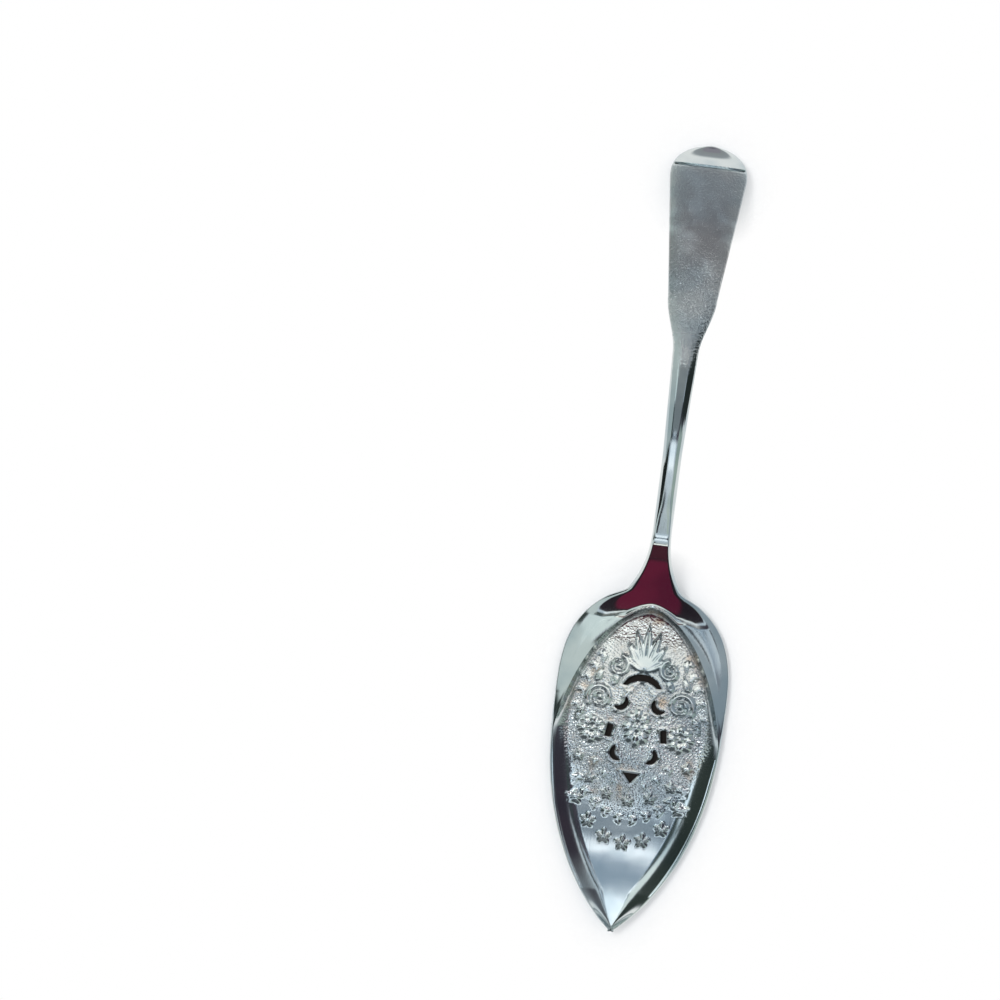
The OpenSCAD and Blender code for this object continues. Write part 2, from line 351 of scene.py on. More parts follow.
@dataclass(frozen=True)
class Piercings:
    """The ring of eight openings, given as the distance to the nearest one.

    Sizes are a width, then a thickness or a length. The triangle's ends are shares of its width. The
    cuts are heights on the crescent, upper hooks and lower hooks, as shares of their radius. Places
    are in half-widths and half-lengths of the ring, then a turn in degrees.
    """

    ring_at: float = 64.0
    ring_width: float = 17.3
    ring_length: float = 31.6
    crescent: tuple[float, float] = (12.4, 2.1)
    hook: tuple[float, float] = (5.0, 1.7)
    slot: tuple[float, float] = (1.9, 4.0)
    triangle: float = 5.2
    triangle_ends: tuple[float, float] = (0.26, -0.34)
    cuts: tuple[float, float, float] = (0.42, -0.1, 0.0)
    slot_place: tuple[float, float, float] = (1.0, -0.12, 8.0)
    upper_hook: tuple[float, float, float] = (0.5, 0.36, 135.0)
    lower_hook: tuple[float, float, float] = (0.86, -0.6, -112.0)

    @staticmethod
    def moon(x: Array, y: Array, size: tuple[float, float], cut: float) -> Array:
        """Return the distance to a moon whose back touches the origin and whose horns point down.

        A disc, less the same disc moved down by the moon's thickness, less all below a straight cut.

        Args:
            x: Places across, in the moon's frame.
            y: Places along, in the moon's frame.
            size: Width and thickness.
            cut: Height of the cut above the disc's centre, as a share of its radius.

        Returns:
            The distance, negative inside.
        """
        width, thick = size
        radius = width / 2 / math.sqrt(1 - max(0.0, cut) ** 2)
        disc = np.hypot(x, y + radius) - radius
        bite = radius - np.hypot(x, y + radius + thick)
        return np.maximum(np.maximum(disc, bite), (cut * radius - radius) - y)

    def three_sides(self, x: Array, y: Array) -> Array:
        """Return the distance to a triangle that points down: the largest of three edge distances.

        Args:
            x: Places across, from its middle.
            y: Places along, from its middle.

        Returns:
            The distance, negative inside.
        """
        top, bottom = (end * self.triangle for end in self.triangle_ends)
        normal = np.array([top - bottom, -self.triangle / 2]) / math.hypot(top - bottom, self.triangle / 2)
        return np.maximum(y - top, np.abs(x) * normal[0] + (y - bottom) * normal[1])

    def four_sides(self, x: Array, y: Array) -> Array:
        """Return the distance to a slot: to its corner outside both sides, else to the nearer side.

        Args:
            x: Places across, from its middle.
            y: Places along, from its middle.

        Returns:
            The distance, negative inside.
        """
        past_x, past_y = np.abs(x) - self.slot[0] / 2, np.abs(y) - self.slot[1] / 2
        corner = np.hypot(np.maximum(past_x, 0), np.maximum(past_y, 0))
        inner = np.maximum(past_x, past_y)
        return np.where(inner > 0, corner, inner)

    def distance(self, x: Array, s: Array) -> Array:
        """Return the distance to the nearest opening, the same left and right.

        Args:
            x: Places across the server.
            s: Places along it.

        Returns:
            The distance, negative inside an opening.
        """
        ax, y = np.abs(x), s - self.ring_at
        side, ring = self.ring_width / 2, self.ring_length / 2
        slot, upper, lower = (turned(ax, y, across * side, along * ring, turn)
                              for across, along, turn in (self.slot_place, self.upper_hook, self.lower_hook))
        shapes = [
            self.moon(x, y - ring - self.crescent[1] / 2, self.crescent, self.cuts[0]),
            self.moon(*upper, self.hook, self.cuts[1]),
            self.moon(*lower, self.hook, self.cuts[2]),
            self.four_sides(*slot),
            self.three_sides(x, y + ring),
        ]
        return np.minimum.reduce(shapes)


@dataclass(frozen=True)
class Motif:
    """A chased shape that stands up from the ground.

    Its place is its origin, across and along from the ring's centre, and its turn in degrees.
    """

    place: tuple[float, float, float]

    def relief(self, ax: Array, y: Array) -> Array:
        """Return the motif's height, from 0 to 1, at places across and along from the ring's centre."""
        return self.shape(*turned(ax, y, *self.place))

    def shape(self, x: Array, y: Array) -> Array:
        """Return the height, from 0 to 1, in the motif's own frame."""
        raise NotImplementedError


@dataclass(frozen=True)
class Flower(Motif):
    """A round flower: petals are lobes of the polar angle, about a bead in a sunk ring.

    The notch, the ring, the bead and both edges are shares of the radius. Between two petals the
    height sinks to the furrow, and a lobe_power below 1 fills the petals out.
    """

    radius: float = 4.6
    petals: int = 8
    stretch: float = 1.0
    notch: float = 0.72
    petal_edge: float = 0.3
    furrow: float = 0.25
    lobe_power: float = 0.6
    ring: tuple[float, float] = (0.26, 0.42)
    bead: float = 0.27
    bead_edge: float = 0.2

    def shape(self, x: Array, y: Array) -> Array:
        """Return the height in the flower's own frame.

        Args:
            x: Places across, from its middle.
            y: Places along, from its middle.

        Returns:
            The height, from 0 to 1.
        """
        y = y / self.stretch
        reach = np.hypot(x, y) / self.radius
        lobe = np.abs(np.cos(np.arctan2(y, x) * self.petals / 2))
        petal = dome(reach - mix(self.notch, 1.0, np.sqrt(lobe)), self.petal_edge)
        petal = petal * mix(self.furrow, 1.0, lobe ** self.lobe_power) * share(*self.ring, reach)
        return np.maximum(petal, dome(reach - self.bead, self.bead_edge))


@dataclass(frozen=True)
class Star(Motif):
    """A five-pointed star: its edge is a saw in the polar angle, and its arms are ridged.

    Between two points the edge comes in to the inner share of the radius, and the arms rise over the
    ridge share of it.
    """

    radius: float
    points: int = 5
    inner: float = 0.42
    ridge: float = 0.6

    def shape(self, x: Array, y: Array) -> Array:
        """Return the height in the star's own frame.

        Args:
            x: Places across, from its middle.
            y: Places along, from its middle.

        Returns:
            The height, from 0 to 1.
        """
        saw = np.mod(np.arctan2(x, y) / (2 * math.pi) * self.points + 0.5, 1) - 0.5
        edge = self.radius * mix(1.0, self.inner, 2 * np.abs(saw))
        return dome(np.hypot(x, y) - edge, self.ridge * self.radius)


@dataclass(frozen=True)
class Leaf(Motif):
    """A pointed leaf from its origin along +y, with a groove down its middle.

    A belly below 1 puts the fullest place nearer the base. The vein is the groove's depth, its
    half-width and the share of the length where it ends.
    """

    length: float
    width: float
    belly: float = 0.7
    vein: tuple[float, float, float] = (0.7, 0.28, 0.85)

    def shape(self, x: Array, y: Array) -> Array:
        """Return the height in the leaf's own frame.

        Args:
            x: Places across the leaf.
            y: Places along the leaf.

        Returns:
            The height, from 0 to 1.
        """
        least_half = 1e-3
        t = np.clip(y / self.length, 0, 1)
        half = self.width / 2 * np.sin(math.pi * t ** self.belly) + least_half
        body = np.where((y > 0) & (y < self.length), np.clip(1 - (x / half) ** 2, 0, 1), 0)
        depth, reach, end = self.vein
        return np.sqrt(body) * (1 - depth * swell(x, reach) * (t < end))


@dataclass(frozen=True)
class Scroll(Motif):
    """A scroll that winds inwards: a ridge about a radius that shrinks with the angle.

    It starts on its +x axis and turns anticlockwise through sweep degrees. By its end it has lost the
    shrink share of its radius and the taper share of its width. The eye's radius and its rounded
    edge are shares of the width.
    """

    radius: float
    sweep: float
    width: float
    shrink: float = 0.72
    taper: float = 0.45
    eye: tuple[float, float] = (0.55, 0.5)

    def shape(self, x: Array, y: Array) -> Array:
        """Return the height in the scroll's own frame.

        Args:
            x: Places across, from the scroll's eye.
            y: Places along, from the scroll's eye.

        Returns:
            The height, from 0 to 1.
        """
        angle = np.mod(np.degrees(np.arctan2(y, x)), 360)
        reach = np.hypot(x, y)
        eye, edge = (part * self.width for part in self.eye)
        ridge = dome(reach - eye, edge)
        for lap in range(math.ceil(self.sweep / 360)):
            along = (angle + 360 * lap) / self.sweep
            centre = self.radius * (1 - self.shrink * along)
            half = self.width / 2 * (1 - self.taper * along)
            round_top = np.sqrt(np.clip(1 - ((reach - centre) / half) ** 2, 0, 1))
            ridge = np.maximum(ridge, np.where(along <= 1, round_top, 0))
        return ridge


@dataclass(frozen=True)
class Garland:
    """A branch along a quadratic curve, with leaves in pairs that point forwards.

    Attributes:
        start: Where the branch starts, across and along from the ring's centre.
        bend: The curve's control point.
        end: Where the branch ends.
        pairs: Number of pairs of leaves.
        leaf_length: Length of the longest leaves.
        spread: Degrees between a leaf and the branch.
        shorter: Share of that length that is lost by the branch's end.
        leaf_width: Width of a leaf as a share of its length.
        stalk: Height, share of a leaf's length, and width of each piece of the branch.
    """

    start: tuple[float, float]
    bend: tuple[float, float]
    end: tuple[float, float]
    pairs: int
    leaf_length: float
    spread: float = 32.0
    shorter: float = 0.35
    leaf_width: float = 0.45
    stalk: tuple[float, float, float] = (0.7, 0.8, 0.7)

    def relief(self, ax: Array, y: Array) -> Array:
        """Return the height of the branch and its leaves.

        Args:
            ax: Places across, from the ring's centre.
            y: Places along, from the ring's centre.

        Returns:
            The height, from 0 to 1.
        """
        a, b, c = (np.array(point) for point in (self.start, self.bend, self.end))
        stalk_height, stalk_share, stalk_width = self.stalk
        found = []
        for t in (np.arange(self.pairs) + 0.5) / self.pairs:
            place = (1 - t) ** 2 * a + 2 * t * (1 - t) * b + t * t * c
            way = (1 - t) * (b - a) + t * (c - b)
            heading = math.degrees(math.atan2(-way[0], way[1]))
            length = self.leaf_length * (1 - self.shorter * t)
            for turn in (heading - self.spread, heading + self.spread):
                found.append(Leaf((*place, turn), length, self.leaf_width * length).relief(ax, y))
            stalk = Leaf((*place, heading), stalk_share * length, stalk_width)
            found.append(stalk_height * stalk.relief(ax, y))
        return np.maximum.reduce(found)


@dataclass(frozen=True)
class StarRow:
    """A row of stars on each side, spaced along an ellipse about the ring's centre.

    Attributes:
        across: The ellipse's half-width.
        along: The ellipse's half-length, towards the tip.
        first: Degrees from the crosswise axis to the first star.
        step: Degrees from one star to the next.
        radius: Radius of each star.
        count: Number of stars on one side, with the middle one.
    """

    across: float
    along: float
    first: float
    step: float
    radius: float
    count: int = 4

    def stars(self) -> list[Star]:
        """Return the stars of one side."""
        turns = [math.radians(self.first + self.step * k) for k in range(self.count)]
        return [Star((self.across * math.cos(turn), -self.along * math.sin(turn), 0.0), self.radius)
                for turn in turns]


@dataclass(frozen=True)
class Ornament:
    """Chased flowers, scrolls, branches and stars laid out round the ring of piercings.

    One half is drawn, and it reads the distance from the middle, so the other half mirrors it. Places
    count from the ring's centre. The rim is the raised edge of each opening: its height, its distance
    from the opening and half its width. The ground is the matted area's half-width and half-length.
    Leaves of the fan are a turn and a length, and leaves on the scrolls' backs a place and a length.
    """

    piercings: Piercings
    height: float = 0.65
    branch_share: float = 0.8
    rim: tuple[float, float, float] = (0.3, 0.5, 0.4)
    ground: tuple[float, float] = (23.5, 27.0)
    fan_gap: float = 2.2
    fan_width: float = 3.4
    fan: tuple[tuple[float, float], ...] = ((0.0, 15.0), (17.0, 13.4), (36.0, 10.6), (58.0, 7.6))
    flowers: tuple[Flower, ...] = (Flower((0.0, 0.0, 0.0), stretch=1.35), Flower((14.0, -2.0, 0.0)))
    scrolls: tuple[Scroll, ...] = (
        Scroll((12.8, 8.2, -40.0), 4.3, 520.0, 1.6),
        Scroll((8.2, 18.8, 100.0), 3.4, 480.0, 1.4),
    )
    back_leaves: tuple[tuple[tuple[float, float, float], float], ...] = (
        ((9.4, 12.2, 20.0), 5.2), ((14.8, 13.0, 24.0), 5.2), ((17.6, 5.2, -160.0), 5.4),
        ((8.6, 4.4, 62.0), 4.2))
    back_leaf_width: float = 0.42
    garlands: tuple[Garland, ...] = (
        Garland((11.2, 24.0), (18.6, 17.0), (20.4, 3.5), 5, 3.8),
        Garland((18.4, -14.5), (12.6, -26.5), (0.9, -29.2), 5, 3.8),
        Garland((13.6, -8.6), (9.4, -16.4), (3.2, -18.6), 3, 2.8),
        Garland((2.6, 8.4), (5.4, 12.4), (1.6, 13.6), 2, 3.0),
    )
    star_rows: tuple[StarRow, ...] = (
        StarRow(19.5, 23.2, 28.0, 20.67, 2.2),
        StarRow(21.6, 36.5, 41.0, 16.33, 2.6),
    )

    def motifs(self) -> list[Motif]:
        """List every motif but the branches; the fan stands on the top crescent, under the arch.

        Returns:
            The motifs of one half.
        """
        foot = self.piercings.ring_length / 2 + self.fan_gap
        fan = [Leaf((0.0, foot, -turn), length, self.fan_width) for turn, length in self.fan]
        backs = [Leaf(place, length, self.back_leaf_width * length) for place, length in self.back_leaves]
        stars = [star for row in self.star_rows for star in row.stars()]
        return [*self.flowers, *self.scrolls, *backs, *fan, *stars]

    def relief(self, x: Array, s: Array) -> Array:
        """Return the height of all the chasing above the well's floor: the largest of its parts.

        Args:
            x: Places across the server.
            s: Places along it.

        Returns:
            The height in millimetres.
        """
        ax, y = np.abs(x), s - self.piercings.ring_at
        branches = [self.branch_share * garland.relief(ax, y) for garland in self.garlands]
        chased = np.maximum.reduce([motif.relief(ax, y) for motif in self.motifs()] + branches)
        rim_height, rim_off, rim_half = self.rim
        rim = rim_height * swell(self.piercings.distance(x, s) - rim_off, rim_half)
        return np.maximum(self.height * chased, rim)


@dataclass
class ServerBody:
    """The one piece of metal: a fine grid for each face, joined round the edges and the openings.

    The crowns are the powers that round the blade and the stem across; a low one is rounder. The
    cells are counted across half the floor, the wall, the shoulder and the rounded edge, and each of
    the stretches is a start, an end and a step between rows. Where the metal is narrow, shares of its
    half-width hold the rounding and the land down and the floor up.
    """

    outline: Outline = field(default_factory=Outline)
    side: SideView = field(default_factory=SideView)
    piercings: Piercings = field(default_factory=Piercings)
    sheet_t: float = 1.5
    edge_t: float = 1.0
    stem_t: float = 3.4
    stem_edge_t: float = 1.3
    paddle_t: float = 2.4
    crowns: tuple[float, float] = (12.0, 3.4)
    crown_run: float = 14.0
    land_cut: float = 0.06
    edge_round: float = 0.5
    edge_draw: float = 0.42
    end_land: float = 0.05
    rim_roll: tuple[float, float] = (0.16, 0.25)
    cells: tuple[int, int, int, int] = (42, 7, 4, 3)
    narrow: tuple[float, float, float] = (0.12, 0.2, 0.4)
    wall_share: float = 0.5
    snap_reach: float = 0.42
    stretches: tuple[tuple[float, float, float], ...] = (
        (0.0, 6.0, 0.3), (6.0, 104.0, 0.42), (104.0, 122.0, 0.75), (122.0, 181.0, 1.5),
        (181.0, 240.0, 1.2), (240.0, 248.0, 0.35), (248.0, SERVER_LENGTH, 0.2))
    sharp_from: float = 50.0

    def __post_init__(self) -> None:
        """Set up the well and the ornament on the same outline and ring."""
        self.well = Well(self.outline)
        self.ornament = Ornament(self.piercings)

    def stations(self) -> Array:
        """Return the places of the rows: close on the blade, wider on the stem."""
        parts = [np.arange(low, high - step / 2, step) for low, high, step in self.stretches]
        return np.append(np.concatenate(parts), self.outline.length)

    def columns(self, s: Array) -> Array:
        """Return x for each row and column: the columns follow the wall of the well.

        Each half has cells across the floor, the wall, the shoulder and the rounded edge, and the
        wall's top lies on the arch wherever the arch is wide enough.

        Args:
            s: Places of the rows.

        Returns:
            One row of x for each place, from the left edge to the right.
        """
        out = self.outline.half(s)
        round_most, land_most, floor_least = (part * out for part in self.narrow)
        rounded = np.minimum(self.edge_round, round_most)
        ridge = np.minimum(out - np.minimum(self.well.edge_land, land_most),
                           np.maximum(self.well.arch_half(s), floor_least))
        foot = ridge - np.minimum(self.well.wall_run(s), ridge * self.wall_share)
        marks = np.stack([np.zeros_like(s), foot, ridge, out - rounded, out])
        steps = [np.arange(count) / count for count in self.cells]
        steps[-1] = np.sin(steps[-1] * math.pi / 2)
        parts = [mix(marks[k][:, None], marks[k + 1][:, None], step) for k, step in enumerate(steps)]
        right = np.concatenate([*parts, out[:, None]], axis=1)
        return np.concatenate([-right[:, :0:-1], right], axis=1)

    def slide_to_openings(self, x: Array, s: Array) -> tuple[Array, Array]:
        """Slide the grid points near an opening's edge onto it.

        A point moves against the gradient of the distance by that distance, so the edge that is left
        when the cells inside are dropped follows the opening's outline.

        Args:
            x: Places across the server.
            s: Places along the server.

        Returns:
            The moved places.
        """
        step, least_slope = 0.02, 0.25
        for _ in range(2):
            d = self.piercings.distance(x, s)
            gx = (self.piercings.distance(x + step, s) - self.piercings.distance(x - step, s)) / (2 * step)
            gs = (self.piercings.distance(x, s + step) - self.piercings.distance(x, s - step)) / (2 * step)
            near = np.where(np.abs(d) < self.snap_reach, d, 0)
            move = near / np.maximum(gx * gx + gs * gs, least_slope)
            x, s = x - move * gx, s - move * gs
        return x, s

    def thickness(self, x: Array, s: Array) -> Array:
        """Return the metal's upright thickness: crowned across by a power, and more where it slopes.

        Args:
            x: Places across the server.
            s: Places along it.

        Returns:
            The thickness at each place.
        """
        along = ease(self.side.heel_at, self.side.crease_at, s)
        middle = mix(self.sheet_t, self.stem_t, along)
        middle = mix(middle, self.paddle_t, ease(self.outline.waist_at, self.outline.paddle_foot, s))
        rim = mix(self.edge_t, np.minimum(self.stem_edge_t, middle), along)
        crown = mix(*self.crowns, ease(self.side.crease_at, self.side.crease_at + self.crown_run, s))
        u = np.minimum(np.abs(x) / self.outline.half(s), 1)
        step = 0.1
        slope = (self.side.height(s + step) - self.side.height(s - step)) / (2 * step)
        return (rim + (middle - rim) * (1 - u ** crown)) * np.hypot(1, slope)

    def edge_drop(self, x: Array, s: Array) -> Array:
        """Return how far each face draws in at the edge: a quarter circle within the rounding.

        Args:
            x: Places across the server.
            s: Places along it.

        Returns:
            The drop at each place.
        """
        step = 0.5
        lean = (self.outline.half(s + step) - self.outline.half(s - step)) / (2 * step)
        inside = (self.outline.half(s) - np.abs(x)) / np.hypot(1, lean)
        inside = np.minimum(inside, np.minimum(s, self.outline.length - s) + self.end_land)
        t = 1 - np.clip(inside / self.edge_round, 0, 1)
        return self.edge_draw * self.edge_t * (1 - np.sqrt(1 - t * t))

    def faces(self, x: Array, s: Array) -> tuple[Array, Array, Array]:
        """Return the heights of the good face and the underside, and the relief between them.

        Args:
            x: Places across the server.
            s: Places along the server.

        Returns:
            The good face's height, the underside's height and the chasing's height.
        """
        relief = self.ornament.relief(x, s)
        under = self.side.height(s) + self.well.rise(x, s) - self.land_cut
        drop = self.edge_drop(x, s)
        roll, reach = self.rim_roll
        rolled = roll * np.exp(-np.maximum(self.piercings.distance(x, s), 0) / reach)
        top = under + self.thickness(x, s) + relief - drop - rolled - self.side.groove(s)
        return top, np.maximum(under + drop, 0), relief

    def mesh(self) -> tuple[bpy.types.Mesh, dict[str, Array]]:
        """Build the closed mesh of the server.

        The two faces share one grid. Cells whose middle lies in an opening are dropped, and each edge
        that is left with one cell gets an upright wall from the good face to the underside.

        Returns:
            The mesh, and the arrays of x, s and relief at its points.
        """
        rows = self.stations()
        x = self.columns(rows)
        s = np.repeat(rows[:, None], x.shape[1], axis=1)
        middle = tuple((g[:-1, :-1] + g[1:, :-1] + g[:-1, 1:] + g[1:, 1:]) / 4 for g in (x, s))
        keep = self.piercings.distance(*middle) > 0
        x, s = self.slide_to_openings(x, s)
        top, under, relief = self.faces(x, s)
        count = x.size
        index = np.arange(count).reshape(x.shape)
        corners = np.stack([index[:-1, :-1], index[:-1, 1:], index[1:, 1:], index[1:, :-1]], axis=-1)
        quads = corners[keep]
        padded = np.pad(keep, 1)
        gone = [~padded[:-2, 1:-1], ~padded[1:-1, 2:], ~padded[2:, 1:-1], ~padded[1:-1, :-2]]
        walls = []
        for k, neighbour_gone in enumerate(gone):
            cell = corners[keep & neighbour_gone]
            a, b = cell[:, k], cell[:, (k + 1) % 4]
            walls.append(np.stack([a, a + count, b + count, b], axis=-1))
        all_faces = np.concatenate([quads, quads[:, ::-1] + count, *walls])
        points = np.concatenate([np.stack([x, s - self.outline.length / 2, z], axis=-1).reshape(-1, 3)
                                 for z in (top, under)])
        used = np.zeros(2 * count, bool)
        used[all_faces] = True
        renumber = np.cumsum(used) - 1
        mesh = bpy.data.meshes.new("server")
        mesh.from_pydata(points[used] * MM, [], renumber[all_faces])
        mesh.validate()
        mesh.update()
        mesh.polygons.foreach_set("use_smooth", np.ones(len(mesh.polygons), bool))
        mesh.set_sharp_from_angle(angle=math.radians(self.sharp_from))
        both = {"x": x, "s": s, "relief": relief}
        return mesh, {name: np.tile(grid.reshape(-1), 2)[used] for name, grid in both.items()}


@dataclass(frozen=True)
class Wear:
    """Where matting, tarnish, satin and stipple lie on the server.

    Attributes:
        ground_ends: Shares of the ground's half-sizes between which its matting fades.
        foot_shares: Share of the wall where the matting starts, near the tip and further up.
        foot_between: Places between which the one turns into the other.
        foot_soft: Share of the wall over which the matting comes in.
        opening_ends: Distances from an opening between which the matting comes in.
        low: Share of the chasing's height above which the metal stays polished.
        arch_reach: Half the width of the tarnish in the corner under the arch.
        arch_between: Places between which that tarnish comes in.
        rim_reach: How quickly the tarnish round an opening fades.
        satin_lead: How far before the paddle and before its foot the satin starts and is full.
        fold_lead: How far before the fold the satin ends.
        thumb: Place and reach of the mark where a thumb rests.
        stipple_between: Places between which the stipple is worn down.
        stipple_worn: Share of the stipple that is left above them.
        ground_tarnish: Tarnish on the matted ground.
        arch_tarnish: Tarnish in the corner under the arch.
        rim_tarnish: Tarnish round the openings.
        satin_tarnish: Tarnish on the paddle.
        thumb_tarnish: Tarnish where a thumb rests.
    """

    ground_ends: tuple[float, float] = (0.84, 1.12)
    foot_shares: tuple[float, float] = (0.5, 0.1)
    foot_between: tuple[float, float] = (50.0, 64.0)
    foot_soft: float = 0.5
    opening_ends: tuple[float, float] = (0.3, 1.0)
    low: float = 0.45
    arch_reach: float = 0.9
    arch_between: tuple[float, float] = (60.0, 74.0)
    rim_reach: float = 0.5
    satin_lead: tuple[float, float] = (12.0, 6.0)
    fold_lead: float = 1.2
    thumb: tuple[float, float] = (217.0, 14.0)
    stipple_between: tuple[float, float] = (200.0, 222.0)
    stipple_worn: float = 0.45
    ground_tarnish: float = 0.35
    arch_tarnish: float = 0.3
    rim_tarnish: float = 0.6
    satin_tarnish: float = 0.2
    thumb_tarnish: float = 0.4

    def matted(self, body: ServerBody, at: dict[str, Array], opening: Array) -> Array:
        """Return the share of matted ground: an ellipse on the floor, clear of walls and openings.

        Args:
            body: The server.
            at: The arrays of x, s and relief at the mesh's points.
            opening: The distance to the nearest opening at each point.

        Returns:
            The share at each point.
        """
        across, along = body.ornament.ground
        below = np.minimum(at["s"] - body.piercings.ring_at, 0)
        inside = 1 - ease(*self.ground_ends, np.hypot(at["x"] / across, below / along))
        d = body.well.outside(at["x"], at["s"])
        foot = mix(*self.foot_shares, ease(*self.foot_between, at["s"]))
        floor = ease(foot, foot + self.foot_soft, -d / body.well.wall_run(at["s"]))
        return floor * inside * ease(*self.opening_ends, opening)

    def shares(self, body: ServerBody, at: dict[str, Array], upper: Array) -> dict[str, Array]:
        """Return the shares that drive the finish: chased ground, tarnish, satin and stipple.

        Args:
            body: The server.
            at: The arrays of x, s and relief at the mesh's points.
            upper: True for the points of the good face.

        Returns:
            Arrays from 0 to 1, one value for each point.
        """
        s, outline, fold_at = at["s"], body.outline, body.side.fold_at
        opening = body.piercings.distance(at["x"], s)
        chased = self.matted(body, at, opening) * upper
        chased = chased * (1 - share(0.0, self.low * body.ornament.height, at["relief"]))
        wall_foot = body.well.outside(at["x"], s) + body.well.arch_wall
        arch = swell(wall_foot, self.arch_reach) * ease(*self.arch_between, s) * upper
        rim = np.exp(-np.maximum(opening, 0) / self.rim_reach) * upper
        start, full = outline.paddle_start - self.satin_lead[0], outline.paddle_foot - self.satin_lead[1]
        satin = ease(start, full, s) * (1 - ease(fold_at - self.fold_lead, fold_at, s)) * upper
        thumbed = satin * swell(s - self.thumb[0], self.thumb[1])
        tarnish = (self.ground_tarnish * chased + self.arch_tarnish * arch + self.rim_tarnish * rim
                   + self.satin_tarnish * satin + self.thumb_tarnish * thumbed)
        stippled = satin * mix(1.0, self.stipple_worn, ease(*self.stipple_between, s))
        return {"chased": chased, "tarnish": np.clip(tarnish, 0, 1), "satin": satin, "stippled": stippled}


def linear(hex_colour: str) -> tuple[float, float, float, float]:
    """Return an sRGB hex colour as linear red, green, blue and alpha."""
    parts = [int(hex_colour[k:k + 2], 16) / 255 for k in (1, 3, 5)]
    return (*(p / 12.92 if p <= 0.04045 else ((p + 0.055) / 1.055) ** 2.4 for p in parts), 1.0)


def blank_material(name: str) -> bpy.types.Material:
    """Make a material with an empty node tree.

    Args:
        name: The material's name.

    Returns:
        The new material.
    """
    made = bpy.data.materials.new(name)
    made.use_nodes = True
    made.node_tree.nodes.clear()
    return made


def add_node(tree: bpy.types.NodeTree, kind: str, settings: dict | None = None,
             inputs: dict | None = None) -> bpy.types.Node:
    """Add a node, set its properties, and set or link its inputs.

    Args:
        tree: The node tree to add to.
        kind: The node's type, such as ShaderNodeMix.
        settings: Properties of the node by name.
        inputs: Values or output sockets by the input's name or number.

    Returns:
        The new node.
    """
    node = tree.nodes.new(kind)
    for name, value in (settings or {}).items():
        setattr(node, name, value)
    for name, value in (inputs or {}).items():
        if isinstance(value, bpy.types.NodeSocket):
            tree.links.new(value, node.inputs[name])
        else:
            node.inputs[name].default_value = value
    return node


class Scale(Enum):
    """Sizes of the patterns in the finish, in millimetres from one mark to the next."""

    CLOUD = 22.0
    WAVE = 13.0
    STAIN = 7.0
    MATTING = 0.75
    STIPPLE = 0.62
    SCRATCH = 0.5

    @property
    def per_metre(self) -> float:
        """Return the pattern's scale for coordinates in metres."""
        return 1.0 / (self.value * MM)


